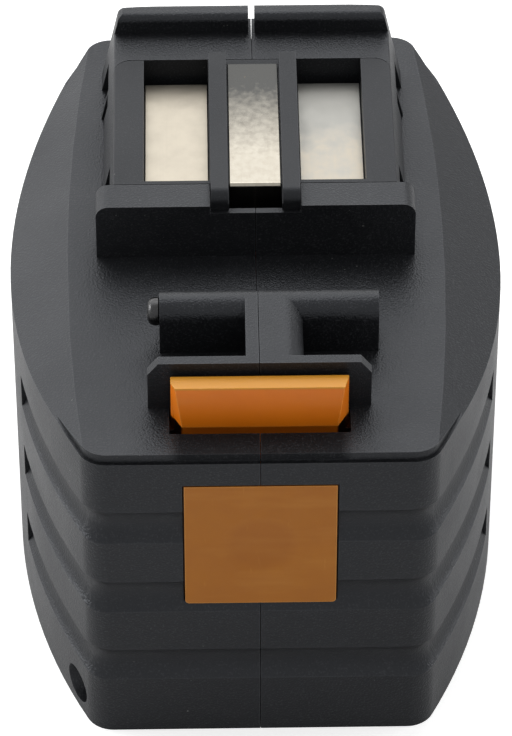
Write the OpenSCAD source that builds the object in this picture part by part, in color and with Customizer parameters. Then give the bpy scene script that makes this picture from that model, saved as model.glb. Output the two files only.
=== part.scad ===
// Slide-on power tool battery pack: a two-half case round ten cells, with a contact head,
// a sprung latch and a push button that draws the latch down.
// Millimetres, +Z up, +Y from the button face towards the contact head.
// The origin is the middle of the base.

/* [Case] */
// Length of the case from the button face to the back face
case_l = 110; // [104:1:122]
// Width of the case at its middle, as a share of its length
case_w_share = 0.771; // [0.75:0.001:0.8]
// Room between the upper cell card and the top wall
top_room = 14.4; // [13.6:0.2:20]
// Thickness of the case walls
wall = 2.6; // [2.2:0.1:3]
// Radius of the long curve of each side, seen from above
side_r = 115; // [105:1:140]
// Radius of the four upright corners
corner_r = 5; // [4.5:0.5:7]
// Width of the flat top at its middle
top_w = 64.8; // [60:0.2:68]
// Radius of the long side edges of the flat top
top_edge_r = 440; // [350:10:600]
// Slope of the shoulders below level, in degrees
shoulder_angle = 29; // [24:1:33]
// Height of the small step along both ends of the top
step_h = 1.8; // [1:0.1:2.6]
// Setback of that step
step_in = 0.5; // [0.3:0.1:1]
// Gap between the two halves along the seam
seam_gap = 0.12; // [0.06:0.02:0.3]

/* [Grip grooves] */
// Number of grip grooves, one above another
groove_count = 3; // [1:1:3]
// Height of the mouth of each groove
groove_h = 7.2; // [5:0.2:8]
// Depth of each groove
groove_d = 1.3; // [0.8:0.1:1.5]
// Distance from each end of the case at which its grooves stop
groove_run = 34; // [24:1:40]

/* [Contact head] */
// Distance from the button face to the front of the head
head_front = 49.8; // [48:0.2:54]
// Distance from the back of the head to the back face
head_back = 8.8; // [6:0.2:10]
// Height of the head above the flat top
head_h = 11.2; // [10.4:0.2:14]
// Width of the head at its foot
head_w = 53.6; // [53:0.2:57]
// Lean of the sides of the head, in degrees
head_taper = 12.5; // [9:0.5:14]
// Thickness of the end plate at the front of the head
plate_t = 5.9; // [5:0.1:7]
// Width of the end plate
plate_w = 54.6; // [53:0.2:58]
// Radius of the upper corners of the end plate
plate_r = 2.2; // [1:0.1:3]
// Height of the ridge at the back of the head
ridge_h = 3.7; // [3:0.1:6]
// Thickness of the ridge
ridge_t = 4; // [3.4:0.1:6]
// Gap between the two halves of the ridge
ridge_gap = 1.1; // [0.5:0.1:2]
// Height of the guide groove at the foot of the head
guide_h = 2.7; // [2:0.1:3.6]
// Depth of the guide groove and of its entry notches
guide_d = 1.4; // [1:0.1:1.8]

/* [Contacts] */
// Distance from the contact carrier to the ridge
carrier_back = 7.65; // [7:0.05:9]
// Thickness of the visible top plate of the carrier
carrier_top = 1.2; // [1:0.1:1.6]
// Width of each contact window
window_w = 11.3; // [9:0.1:12]
// Distance between the two windows
window_gap = 15.6; // [15:0.1:18]
// Depth of the contact plates below the top of the head
window_d = 4.5; // [4.2:0.1:5]
// Thickness of the two contact plates
contact_t = 0.8; // [0.5:0.1:1]
// Width of each divider bar beside the middle contact
divider_w = 3.15; // [2.4:0.05:3.3]
// Height of the divider bars above the carrier
divider_h = 2.1; // [1.2:0.1:3]
// Width of the middle contact
sense_w = 8.8; // [7:0.1:8.9]
// Thickness of the middle contact
sense_t = 0.6; // [0.4:0.1:0.8]

/* [Latch and button] */
// Width of the latch nose
nose_w = 29.4; // [25:0.2:30]
// Height of the latch nose above the flat top
nose_h = 7.8; // [6:0.1:9]
// Thickness of the latch nose at its top
nose_t = 3; // [2.4:0.1:3.4]
// Distance from the button face to the front foot of the nose
nose_front = 7.2; // [7:0.1:8]
// Width of the push button
button_w = 25.4; // [20:0.2:26]
// Height of the push button
button_h = 27.2; // [22:0.2:28]
// Distance from the middle of the push button up to the flat top
button_drop = 20.6; // [19.2:0.2:21.2]
// Depth of the finger dish in the button
dish_d = 0.5; // [0.2:0.1:0.9]
// Radius of the finger dish
dish_r = 7; // [5:0.5:10]
// Travel of the button, and of the latch with it
travel = 3.5; // [2.5:0.1:3.5]

/* [Guard wall and cross bar] */
// Width of the guard wall behind the latch nose
guard_w = 37; // [33:0.2:40]
// Height of the guard wall and of the cross bar
guard_h = 9.8; // [9:0.1:11]
// Thickness of the guard wall
guard_t = 1.8; // [1.4:0.1:2.4]
// Distance from the button face to the front of the guard wall
guard_front = 11.8; // [11.7:0.1:13]
// Diameter of the round top of the cross bar
bar_d = 6.6; // [6:0.1:9]
// Distance from the button face to the middle of the cross bar
bar_y = 28.5; // [26:0.1:32]
// Reach of the cross bar on the screw side of the seam
bar_left = 16.5; // [15:0.1:18]
// Reach of the cross bar on the other side of the seam
bar_right = 20.2; // [16:0.1:24]

/* [Cells] */
// Height of one cell over its terminal
cell_h = 43; // [36:0.5:50]
// Room between each side wall and the widest rows of cells
side_room = 6.2; // [5.6:0.1:8]
// Room between the last row of cells and the back wall
back_room = 7; // [6.4:0.1:8]
// Gap between neighbouring cells
cell_gap = 0.3; // [0.2:0.1:0.5]
// Thickness of the welded cell links
link_t = 0.3; // [0.2:0.05:0.4]
// Width of the welded cell links
link_w = 7; // [5:0.5:8]
// Thickness of the insulating cards below and above the cells
card_t = 1; // [0.6:0.1:1.2]
// Thickness of the foam strips on top of the cell block
foam_t = 1.6; // [1:0.1:2.4]

/* [Screws] */
// Diameter of the screw shanks
screw_d = 2.9; // [2.5:0.1:3]
// Length of the screw shanks
screw_l = 26; // [22:1:28]
// Diameter of the screw heads
screw_head_d = 4.8; // [4.4:0.1:5.8]
// Height of the screw heads
screw_head_h = 2.1; // [1.6:0.1:2.6]
// Diameter of the recess that lets a screw head into the side of the case
recess_d = 6.8; // [6.4:0.1:7]

/* [Hidden] */
// Clearance between fixed pieces, and between a moving piece and what guides it
fit = 0.15;
run = 0.3;
// Clearance of a screw shank in its hole
screw_clear = 0.05;
// Overrun of every cut past the face that it leaves, and overlap of joined solids
over = 1;
$fn = 96;
arc_fn = 240;

// The number of cells in each row, from the button end to the back
row_counts = [2, 3, 3, 2];

// The cells fill the width of the case, and the case is as high as they need
case_w = case_l * case_w_share;
cell_d = (case_w - 2 * wall - 2 * side_room + cell_gap) / max(row_counts) - cell_gap;
case_h = 2 * wall + 2 * card_t + 2 * link_t + cell_h + top_room;
button_z = case_h - button_drop;

cell_names = [for (i = [1 : 10]) str("cell_", i)];
bottom_link_names = [for (i = [1 : 5]) str("bottom_link_", i)];
top_link_names = [for (i = [1 : 4]) str("top_link_", i)];

// Case outline: where the side curves, the corner curves and the straight ends meet
half_l = case_l / 2;
side_x = case_w / 2 - side_r;
corner_y = half_l - corner_r;
corner_x = sqrt(pow(side_r - corner_r, 2) - pow(corner_y, 2)) + side_x;
tangent_angle = asin(corner_y / (side_r - corner_r));
shoulder_run_share = 1 / tan(shoulder_angle);

// The case seen from above, drawn in by t all round
module outline(t) {
    tx = side_x + (side_r - t) * cos(tangent_angle);
    ty = (side_r - t) * sin(tangent_angle);
    intersection() {
        translate([side_x, 0]) circle(side_r - t, $fn = arc_fn);
        translate([-side_x, 0]) circle(side_r - t, $fn = arc_fn);
        square([case_w, 2 * ty], center = true);
    }
    polygon([
        [-corner_x, t - half_l], [corner_x, t - half_l], [tx, -ty], [tx, ty],
        [corner_x, half_l - t], [-corner_x, half_l - t], [-tx, ty], [-tx, -ty]
    ]);
    for (x = [-corner_x, corner_x], y = [-corner_y, corner_y])
        translate([x, y]) circle(corner_r - t);
}

// The cone whose flank is one sloping shoulder, drawn in by t
module shoulder(side, t) {
    inset = t / sin(shoulder_angle);
    translate([side * (top_w / 2 - top_edge_r), 0, 0])
        cylinder(
            h = case_h,
            r1 = top_edge_r + case_h * shoulder_run_share - inset,
            r2 = top_edge_r - inset,
            $fn = arc_fn
        );
}

// Prisms along Y, drawn in X and Z, and along X, drawn in Y and Z
module along_y(y0, y1) {
    translate([0, y1, 0]) rotate([90, 0, 0]) linear_extrude(y1 - y0) children();
}
module along_x(x0, x1) {
    translate([x0, 0, 0]) rotate([90, 0, 90]) linear_extrude(x1 - x0) children();
}
// A box between two corners
module block(low, high) {
    translate(low) cube(high - low);
}
// The same piece on both sides of the seam
module both_sides() {
    children();
    mirror([1, 0, 0]) children();
}

module case_body() {
    intersection() {
        union() {
            linear_extrude(case_h - step_h) outline(0);
            linear_extrude(case_h) outline(step_in);
        }
        shoulder(1, 0);
        shoulder(-1, 0);
    }
}

module case_cavity() {
    intersection() {
        translate([0, 0, wall]) linear_extrude(case_h - 2 * wall) outline(wall);
        shoulder(1, wall);
        shoulder(-1, wall);
    }
}

// One grip groove round one end of the case: along the end, round both corners and up both sides.
// It turns the corner a little wider than the case does.
turn_more = 1;
turn_r = corner_r + turn_more;
turn_y = half_l - turn_r;
turn_x = sqrt(pow(side_r - turn_r, 2) - pow(turn_y, 2)) + side_x;
turn_angle = asin(turn_y / (side_r - turn_r));
groove_r = (pow(groove_h / 2, 2) + pow(groove_d, 2)) / (2 * groove_d);
groove_out = groove_r - groove_d;
groove_stop_angle = asin((half_l - groove_run) / side_r);
// A ball joins its corner part and its side part
knee_more = 0.06;
knee_out = side_r + groove_out;
module groove(z) {
    along_x(-turn_x, turn_x) translate([-half_l - groove_out, z]) circle(groove_r);
    both_sides() {
        translate([turn_x, -turn_y, z])
            rotate([0, 0, -90])
            rotate_extrude(angle = 90 - turn_angle)
            translate([turn_r + groove_out, 0]) circle(groove_r);
        translate([side_x, 0, z])
            rotate([0, 0, -turn_angle])
            rotate_extrude(angle = turn_angle - groove_stop_angle, $fn = arc_fn)
            translate([knee_out, 0]) circle(groove_r);
        translate([side_x + knee_out * cos(turn_angle), -knee_out * sin(turn_angle), z])
            sphere(groove_r + knee_more);
    }
}
module grooves() {
    for (i = [1 : groove_count]) {
        groove(i * case_h / (groove_count + 1));
        mirror([0, 1, 0]) groove(i * case_h / (groove_count + 1));
    }
}

// Contact head: heights, lengths and the width of its leaning sides
head_top = case_h + head_h;
head_y0 = head_front - half_l;
plate_y1 = head_y0 + plate_t;
ridge_y1 = half_l - head_back;
ridge_y0 = ridge_y1 - ridge_t;
carrier_y0 = plate_y1 + fit;
carrier_y1 = ridge_y0 - carrier_back;
well_y1 = carrier_y1 + fit;
ridge_top = head_top + ridge_h;
ridge_round_share = 0.35;
ridge_round = ridge_t * ridge_round_share;
edge_r = 0.3;
// Radius of the slightly bowed back of the head, as a share of its width
head_bow_share = 4;
head_bow_r = head_w * head_bow_share;
function head_x(z) = head_w / 2 - (z - case_h) * tan(head_taper);
// The leaning sides with upper corners of radius r
module head_section(top, r) {
    x = head_x(top - r) - r / cos(head_taper);
    side = [x + r * cos(head_taper), top - r + r * sin(head_taper)];
    polygon([
        [-x, top], [x, top], side, [head_x(case_h), case_h], [head_x(case_h), case_h - wall],
        [-head_x(case_h), case_h - wall], [-head_x(case_h), case_h], [-side[0], side[1]]
    ]);
    for (c = [-x, x]) translate([c, top - r]) circle(r);
}
module head_solid() {
    intersection() {
        union() {
            along_y(head_y0 + plate_t / 2, ridge_y1) head_section(head_top, edge_r);
            intersection() {
                along_y(ridge_y0, ridge_y1) head_section(ridge_top, ridge_round);
                along_x(-head_w / 2, head_w / 2) ridge_section();
            }
        }
        translate([0, ridge_y1 - head_bow_r, 0]) cylinder(h = ridge_top, r = head_bow_r, $fn = arc_fn);
    }
    along_y(head_y0, plate_y1) plate_section();
}
module ridge_section() {
    translate([ridge_y0, case_h]) square([ridge_t, ridge_top - ridge_round - case_h]);
    translate([ridge_y0 + ridge_round, case_h])
        square([ridge_t - 2 * ridge_round, ridge_top - case_h]);
    for (y = [ridge_y0 + ridge_round, ridge_y1 - ridge_round])
        translate([y, ridge_top - ridge_round]) circle(ridge_round);
}
module plate_section() {
    translate([-plate_w / 2, case_h - wall]) square([plate_w, head_h + wall - plate_r]);
    translate([plate_r - plate_w / 2, case_h]) square([plate_w - 2 * plate_r, head_h]);
    for (x = [plate_r - plate_w / 2, plate_w / 2 - plate_r])
        translate([x, head_top - plate_r]) circle(plate_r);
}

// The well under the carrier, the seat of the carrier's top plate and the notch in the end plate
well_x = 22;
notch_d = 1.5;
plate_roof = 2.4;
plate_front_wall = 2.2;
pocket_wall = 1.2;
carrier_corner_r = 3;
seat_z = head_top - carrier_top;
dividers_x = window_gap / 2;
tail_slot_x = sense_w / 2 + 2 * run;
module carrier_outline(clear) {
    reach = head_w / 2 + over;
    back = carrier_y1 + clear;
    round_x = head_x(head_top) - carrier_corner_r;
    front = carrier_y0 - clear;
    translate([-reach, front]) square([2 * reach, back - carrier_corner_r - front]);
    translate([-round_x, front]) square([2 * round_x, back - front]);
    for (x = [-round_x, round_x])
        translate([x, back - carrier_corner_r]) circle(carrier_corner_r);
}
module head_openings() {
    low = case_h - wall - over;
    // Room under the roof of the end plate
    block([-well_x, head_y0 + plate_front_wall, low], [well_x, plate_y1 + over, head_top - plate_roof]);
    // Room under the top at the back of the head
    block([wall - well_x, well_y1 + wall, low], [well_x - wall, ridge_y1 - wall, head_top - wall]);
    // The carrier's well, open to the top
    block([-well_x, plate_y1, low], [well_x, well_y1, head_top + over]);
    translate([0, 0, seat_z]) linear_extrude(carrier_top + over) carrier_outline(fit);
    // The notch that the divider bars pass through, and the pocket for the middle contact's tail
    block([-dividers_x, head_y0 - over, head_top - notch_d], [dividers_x, plate_y1 + over, head_top + over]);
    block([-tail_slot_x, head_y0 + pocket_wall, low], [tail_slot_x, plate_y1 + over, head_top + over]);
    // The gap between the halves of the ridge
    block([-ridge_gap / 2, ridge_y0 - over, head_top], [ridge_gap / 2, ridge_y1 + over, ridge_top + over]);
}

// Guide groove and entry notches in each side of the head
guide_back = 4.7;
guide_y1 = carrier_y1 - guide_back;
front_notch_l = 8.2;
front_notch_h = 8.3;
guide_notch_l = 2.2;
guide_notch_h = 5.6;
back_notch_gap = 3;
back_notch_l = 7.2;
back_notch_h = 6.1;
// Each notch has its front, its back and its height above the flat top
entry_notches = [
    [plate_y1, plate_y1 + front_notch_l, front_notch_h],
    [guide_y1 - over, guide_y1 + guide_notch_l, guide_notch_h],
    [guide_y1 + back_notch_gap, guide_y1 + back_notch_gap + back_notch_l, back_notch_h]
];
module guide_cuts() {
    for (n = entry_notches)
        block(
            [head_x(case_h + n[2]) - guide_d, n[0], case_h],
            [head_w / 2 + over, n[1], case_h + n[2]]
        );
    block(
        [head_w / 2 - guide_d, plate_y1, case_h],
        [head_w / 2 + over, guide_y1, case_h + guide_h]
    );
}

// Guard wall, stem and cross bar in front of the head
guard_y0 = guard_front - half_l;
guard_y1 = guard_y0 + guard_t;
guard_top = case_h + guard_h;
guard_cut_x = guard_t;
guard_cut_z = guard_t * 4 / 3;
bar_mid = bar_y - half_l;
bar_z = guard_top - bar_d / 2;
stem_left = 2.2;
stem_right = 7.4;
stem_r = 3.1;
module guard_solid() {
    x = guard_w / 2;
    along_y(guard_y0, guard_y1) polygon([
        [-x, case_h - wall], [-x, guard_top - guard_cut_z], [guard_cut_x - x, guard_top],
        [x - guard_cut_x, guard_top], [x, guard_top - guard_cut_z], [x, case_h - wall]
    ]);
    along_y(guard_y0, bar_mid) {
        translate([-stem_left, case_h - wall])
            square([stem_left + stem_right - stem_r, guard_top - case_h + wall]);
        translate([-stem_left, case_h - wall])
            square([stem_left + stem_right, guard_top - stem_r - case_h + wall]);
        translate([stem_right - stem_r, guard_top - stem_r]) circle(stem_r);
    }
    along_x(-bar_left, bar_right) {
        translate([bar_mid, bar_z]) circle(bar_d / 2);
        translate([bar_mid - bar_d / 2, case_h - wall]) square([bar_d, bar_z - case_h + wall]);
    }
}

// Screws run from the left half into the right half. Each place is its Y and Z.
recess_r = recess_d / 2;
recess_wall = 0.8;
boss_wall = 2.45;
boss_r = screw_d / 2 + boss_wall;
front_screw_in = 3;
back_screw_in = 2;
low_screw_up = 1.8;
front_screw_y = recess_r + front_screw_in - half_l;
back_screw_y = half_l - recess_r - back_screw_in;
low_screw_z = recess_r + low_screw_up;
high_screw_z = case_h - recess_r - 2 * wall;
seat_x = -bar_left;
case_screw_places = [
    [front_screw_y, low_screw_z], [back_screw_y, low_screw_z], [back_screw_y, high_screw_z]
];
screw_places = concat(case_screw_places, [[bar_mid, bar_z]]);
module bosses() {
    intersection() {
        for (p = case_screw_places) {
            along_x(seat_x - wall, screw_l + seat_x + wall) translate(p) circle(boss_r);
            along_x(-case_w / 2, seat_x + wall) translate(p) circle(recess_r + recess_wall);
        }
        case_body();
    }
}
module screw_cuts() {
    for (p = screw_places)
        along_x(seat_x - over, screw_l + seat_x + run) translate(p) circle(screw_d / 2 + screw_clear);
    for (p = case_screw_places) along_x(-case_w / 2 - over, seat_x) translate(p) circle(recess_r);
}

// Latch: its nose stands in a slot in the top, its plate runs between guides behind the button
front_in = wall - half_l;
nose_y0 = nose_front - half_l;
nose_lean = 0.7;
nose_y1 = nose_y0 + nose_lean + nose_t;
nose_cut = 1.8;
nose_cut_share = 0.88;
slot_lead = 1.8;
latch_t = 2.5;
latch_back = 1.1;
latch_y1 = nose_y1 + latch_back;
latch_y0 = latch_y1 - latch_t;
latch_x = 17;
stop_t = 3;
stop_z = case_h - wall - run;
button_flange = 1.2;
flange_t = 1.5;
flange_y0 = front_in + run;
flange_y1 = flange_y0 + flange_t;
flange_x = button_w / 2 + run + button_flange;
flange_z = button_h / 2 + run + button_flange;
guide_x0 = flange_x + 2 * run;
guide_wall = 1.6;
guide_side = 2.5;
guide_x1 = latch_x + run + guide_side;
shelf_t = 2;
spring_l = 13;
spring_drop = 16;
spring_z = button_z - spring_drop;
foot_t = 1.6;
foot_z = spring_z + spring_l;
spring_x = 11;
spring_y = (latch_y0 + latch_y1) / 2;
spring_r = 2.3;
wire_r = 0.25;
spigot_r = spring_r - 2 * wire_r - run;
spigot_h = spring_l / 4;
guide_top = stop_z - stop_t - travel - 2 * run;
sill_up = 5;
sill_z = button_z + sill_up;
window_x = 6.5;
wedge_t = 1.9;
module latch_slot() {
    block(
        [-nose_w / 2 - run, nose_y0 - slot_lead, case_h - wall - over],
        [nose_w / 2 + run, guard_y0, case_h + over]
    );
}
module button_hole() {
    x = button_w / 2 + run;
    z = button_h / 2 + run;
    block([-x, -half_l - over, button_z - z], [x, front_in + over, button_z + z]);
}
// The two guides for the latch plate and the shelves under its springs
module latch_guides() {
    intersection() {
        both_sides() {
            difference() {
                block([guide_x0, latch_y0 - run - guide_wall, spring_z - shelf_t],
                    [guide_x1, latch_y1 + run + guide_wall, guide_top]);
                block([0, latch_y0 - run, spring_z], [latch_x + run, latch_y1 + run, guide_top + over]);
            }
            block([guide_x1 - guide_wall, spring_y - guide_wall / 2, spring_z - shelf_t],
                [case_w / 2, spring_y + guide_wall / 2, guide_top]);
            block([spring_x - 2 * spring_r, -half_l + wall / 2, spring_z - shelf_t],
                [guide_x1, spring_y + spring_r + guide_wall, spring_z]);
            block([spring_x - guide_wall / 2, -half_l + wall / 2, wall / 2],
                [spring_x + guide_wall / 2, spring_y + spring_r, spring_z]);
            translate([spring_x, spring_y, spring_z - over]) cylinder(h = spigot_h + over, r = spigot_r);
        }
        case_body();
    }
}

// Ribs that hold the cell block down and fence its ends
rib_t = 1.6;
row_pitch = cell_d + cell_gap;
nest_pitch = row_pitch * sin(60);
block_l = row_pitch + 2 * nest_pitch + cell_d;
block_y0 = half_l - wall - block_l - back_room;
row_ys = [
    block_y0 + cell_d / 2,
    block_y0 + cell_d / 2 + nest_pitch,
    block_y0 + cell_d / 2 + nest_pitch + row_pitch,
    block_y0 + cell_d / 2 + 2 * nest_pitch + row_pitch
];
block_y1 = block_y0 + block_l;
cell_z0 = wall + card_t + link_t;
cell_z1 = cell_z0 + cell_h;
card_z = cell_z1 + link_t;
foam_z = card_z + card_t;
foam_x0 = 17;
foam_x1 = 29;
fence_h = 12;
module cell_ribs() {
    intersection() {
        both_sides() {
            for (y = [row_ys[0] + cell_d / 3, row_ys[3]])
                block([foam_x0 + rib_t, y, foam_z + foam_t], [foam_x1 - rib_t, y + rib_t, case_h - wall / 2]);
            for (y = [block_y0 - run - rib_t, block_y1 + run])
                block([rib_t, y, wall / 2], [cell_d - rib_t, y + rib_t, wall + fence_h]);
        }
        case_body();
    }
}

module case_shell() {
    difference() {
        union() {
            difference() {
                union() {
                    case_body();
                    head_solid();
                    guard_solid();
                }
                case_cavity();
                head_openings();
                both_sides() guide_cuts();
                latch_slot();
            }
            bosses();
            latch_guides();
            cell_ribs();
        }
        grooves();
        button_hole();
        screw_cuts();
    }
}

module left_case_half() {
    color("#2a2b2d") intersection() {
        case_shell();
        block([-case_w, -case_l, -over], [-seam_gap / 2, case_l, 2 * case_h]);
    }
}
module right_case_half() {
    color("#2a2b2d") intersection() {
        case_shell();
        block([seam_gap / 2, -case_l, -over], [case_w, case_l, 2 * case_h]);
    }
}

// One pan-head screw with a cross recess, lying along X with its head to the left
module screw() {
    head_r = screw_head_d / 2;
    crown_share = 0.7;
    cross_share = 0.6;
    slot_w = screw_d / 4;
    rotate([0, 90, 0]) difference() {
        union() {
            cylinder(h = screw_l, r = screw_d / 2);
            translate([0, 0, -screw_head_h / 2]) cylinder(h = screw_head_h / 2, r = head_r);
            translate([0, 0, -screw_head_h]) cylinder(h = screw_head_h / 2, r1 = head_r * crown_share, r2 = head_r);
        }
        for (a = [0, 90]) rotate([0, 0, a])
            translate([-screw_d / 2, -slot_w / 2, -screw_head_h - over])
            cube([screw_d, slot_w, over + screw_head_h * cross_share]);
    }
}
module case_screws() {
    color("#5c5f63") for (p = screw_places) translate([seat_x, p[0], p[1]]) screw();
}

// Contact carrier: a block in the well, a top plate flush with the head and two divider bars
block_h = 8.7;
block_z0 = seat_z - block_h;
block_front = 1.5;
block_in_y0 = carrier_y0 + block_front;
block_back = 2.2;
block_in_y1 = carrier_y1 - block_back;
window_front = 0.8;
window_y0 = carrier_y0 + window_front;
tongue_front = 0.6;
tongue_y0 = head_y0 + tongue_front;
divider_back = 0.5;
divider_y1 = carrier_y1 - divider_back;
plate_z1 = head_top - window_d;
plate_z0 = plate_z1 - contact_t;
sense_lap = 0.9;
sense_y0 = plate_y1 - sense_lap;
module contact_carrier() {
    color("#26272a") difference() {
        union() {
            intersection() {
                translate([0, 0, seat_z]) linear_extrude(carrier_top) carrier_outline(0);
                along_y(head_y0, ridge_y1) head_section(head_top, edge_r);
            }
            block([fit - well_x, block_in_y0, block_z0], [well_x - fit, block_in_y1, seat_z]);
            block([fit - dividers_x, tongue_y0, head_top - notch_d + fit],
                [dividers_x - fit, carrier_y0 + over, head_top]);
            both_sides() divider();
        }
        both_sides() block([dividers_x, window_y0, plate_z0],
            [dividers_x + window_w, carrier_y1 + over, head_top + over]);
        // The channel between the dividers is open in front, where the tail goes down
        block([-sense_w / 2 - fit, tongue_y0 - over, block_z0 - over],
            [sense_w / 2 + fit, sense_y0 + sense_t + fit, head_top + over]);
    }
}
module divider() {
    x0 = dividers_x - divider_w;
    intersection() {
        along_x(x0, dividers_x - fit) {
            translate([tongue_y0 + divider_h, head_top - over])
                square([divider_y1 - tongue_y0 - divider_h, divider_h + over]);
            translate([tongue_y0 + divider_h, head_top]) circle(divider_h);
        }
        block([x0, tongue_y0, head_top - over], [dividers_x, divider_y1, head_top + divider_h]);
    }
}

// The two contact plates lie on the floor of the windows, each with a tail at the back
tail_w = 6;
tail_y0 = block_in_y1 + fit;
tail_y1 = tail_y0 + contact_t;
tail_up = 8;
tail_z = foam_z + tail_up;
contact_x = dividers_x + window_w / 2;
module contact_plate() {
    block([dividers_x + fit, window_y0 + fit, plate_z0], [dividers_x + window_w - fit, tail_y1, plate_z1]);
    block([contact_x - tail_w / 2, tail_y0, tail_z], [contact_x + tail_w / 2, tail_y1, plate_z1]);
}
module positive_contact() {
    color("#d9d2bf") mirror([1, 0, 0]) contact_plate();
}
module negative_contact() {
    color("#d9d2bf") contact_plate();
}

// The middle contact lies on the carrier and folds down in front of it
sense_back = 1.9;
sense_y1 = carrier_y1 - sense_back;
sense_foot = 1;
sense_tail_z = case_h - wall - sense_foot;
module sense_contact() {
    color("#c9c9c4") {
        block([-sense_w / 2, sense_y0 + sense_t, head_top], [sense_w / 2, sense_y1, head_top + sense_t]);
        block([-sense_w / 2, sense_y0, sense_tail_z], [sense_w / 2, sense_y0 + sense_t, head_top]);
        intersection() {
            along_x(-sense_w / 2, sense_w / 2) translate([sense_y0 + sense_t, head_top]) circle(sense_t);
            block([-sense_w, sense_y0, head_top], [sense_w, sense_y0 + sense_t, head_top + sense_t]);
        }
    }
}

// Push button: a plate in the front wall, a flange behind the wall and a wedge to the latch
button_r = 0.7;
module button_face() {
    w = button_w / 2;
    h = button_h / 2;
    translate([-w, button_z + button_r - h]) square([2 * w, 2 * h - button_r]);
    translate([button_r - w, button_z - h]) square([2 * (w - button_r), 2 * h]);
    for (x = [button_r - w, w - button_r]) translate([x, button_z + button_r - h]) circle(button_r);
}
module release_button() {
    dish_ball_r = (pow(dish_r, 2) + pow(dish_d, 2)) / (2 * dish_d);
    wedge_y = latch_y1 - 2 * run;
    color("#d98a2b") difference() {
        union() {
            along_y(-half_l, flange_y0) button_face();
            block([-flange_x, flange_y0, button_z - flange_z], [flange_x, flange_y1, button_z + flange_z]);
            along_x(2 * run - window_x, window_x - 2 * run) polygon([
                [flange_y0, sill_z + flange_y0 - latch_y1 + run], [wedge_y, sill_z + wedge_y - latch_y1 + run],
                [wedge_y, sill_z + wedge_t], [flange_y0, sill_z + wedge_t]
            ]);
        }
        translate([0, dish_d - half_l - dish_ball_r, button_z]) sphere(dish_ball_r, $fn = arc_fn);
    }
}

// Latch: nose, stop flange, plate with a window for the wedge, and a foot on the springs
module latch() {
    nose_foot = case_h - run;
    nose_top = case_h + nose_h;
    cut_y1 = nose_y0 + (nose_y1 - nose_y0) * nose_cut_share;
    color("#e0902c") {
        intersection() {
            along_x(-nose_w / 2, nose_w / 2) polygon([
                [nose_y1, stop_z - stop_t], [nose_y1, nose_top], [nose_y0 + nose_lean, nose_top],
                [nose_y0, case_h], [nose_y0, nose_foot], [latch_y0, nose_foot], [latch_y0, stop_z - stop_t]
            ]);
            linear_extrude(2 * case_h) polygon([
                [-nose_w / 2, nose_y1], [-nose_w / 2, cut_y1], [nose_cut - nose_w / 2, nose_y0],
                [nose_w / 2 - nose_cut, nose_y0], [nose_w / 2, cut_y1], [nose_w / 2, nose_y1]
            ]);
        }
        block([-latch_x, latch_y0, stop_z - stop_t], [latch_x, latch_y1, stop_z]);
        difference() {
            block([-latch_x, latch_y0, foot_z], [latch_x, latch_y1, stop_z]);
            along_x(-window_x, window_x) polygon([
                [latch_y0 - over, sill_z - latch_t - over], [latch_y1 + over, sill_z + over],
                [latch_y1 + over, sill_z + wedge_t + travel + 2 * run],
                [latch_y0 - over, sill_z + wedge_t + travel + 2 * run]
            ]);
        }
        both_sides() {
            block([spring_x - 2 * spring_r, spring_y - spring_r, foot_z],
                [spring_x + spring_r, spring_y + spring_r, foot_z + foot_t]);
            translate([spring_x, spring_y, foot_z - spigot_h]) cylinder(h = spigot_h + over, r = spigot_r);
        }
    }
}

// Compression spring: one wire swept along a helix, with its ends flattened onto their seats
spring_turns = 7;
spring_steps = 12;
wire_sides = 6;
function spring_point(i, count) =
    let (share = i / count, climb = spring_l - 2 * wire_r)
    [
        (spring_r - wire_r) * cos(360 * spring_turns * share),
        (spring_r - wire_r) * sin(360 * spring_turns * share),
        wire_r + climb * share
    ];
module spring() {
    count = spring_turns * spring_steps;
    rings = [
        for (i = [0 : count])
        let (p = spring_point(i, count), a = 360 * spring_turns * i / count)
        for (k = [0 : wire_sides - 1])
        let (b = 360 * k / wire_sides)
        p + wire_r * [cos(a) * cos(b), sin(a) * cos(b), sin(b)]
    ];
    sides = [
        for (i = [0 : count - 1], k = [0 : wire_sides - 1])
        let (n = (k + 1) % wire_sides, a = i * wire_sides, b = a + wire_sides)
        each [[a + k, b + k, b + n], [a + k, b + n, a + n]]
    ];
    first = [for (k = [0 : wire_sides - 1]) k];
    last = [for (k = [wire_sides - 1 : -1 : 0]) count * wire_sides + k];
    polyhedron(points = rings, faces = concat(sides, [first, last]));
}
module latch_spring_right() {
    color("#8d9094") translate([spring_x, spring_y, spring_z]) spring();
}
module latch_spring_left() {
    color("#8d9094") translate([-spring_x, spring_y, spring_z]) spring();
}

// Cells stand in rows and are linked in a winding line, so each row runs the other way
function row_of(i) = i < 2 ? 0 : i < 5 ? 1 : i < 8 ? 2 : 3;
function row_start(r) = r == 0 ? 0 : row_counts[r - 1] + row_start(r - 1);
function run_way(r) = r == 0 ? 1 : r == 2 ? 1 : -1;
function cell_place(i) =
    let (r = row_of(i), k = i - row_start(r))
    [run_way(r) * (k - (row_counts[r] - 1) / 2) * row_pitch, row_ys[r]];
terminal_share = 0.19;
terminal_r = cell_d * terminal_share;
terminal_h = 0.8;
module cell(i) {
    up = i % 2 == 0;
    p = cell_place(i);
    neck_r = 0.7;
    color("#7d9b6d") translate([p[0], p[1], up ? cell_z0 : cell_z1])
        mirror([0, 0, up ? 0 : 1]) {
            difference() {
                cylinder(h = cell_h - terminal_h, r = cell_d / 2);
                translate([0, 0, cell_h - terminal_h - 4 * neck_r])
                    rotate_extrude() translate([cell_d / 2 + neck_r / 3, 0]) circle(neck_r);
            }
            translate([0, 0, cell_h - terminal_h - over]) cylinder(h = terminal_h + over, r = terminal_r);
        }
}
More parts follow.
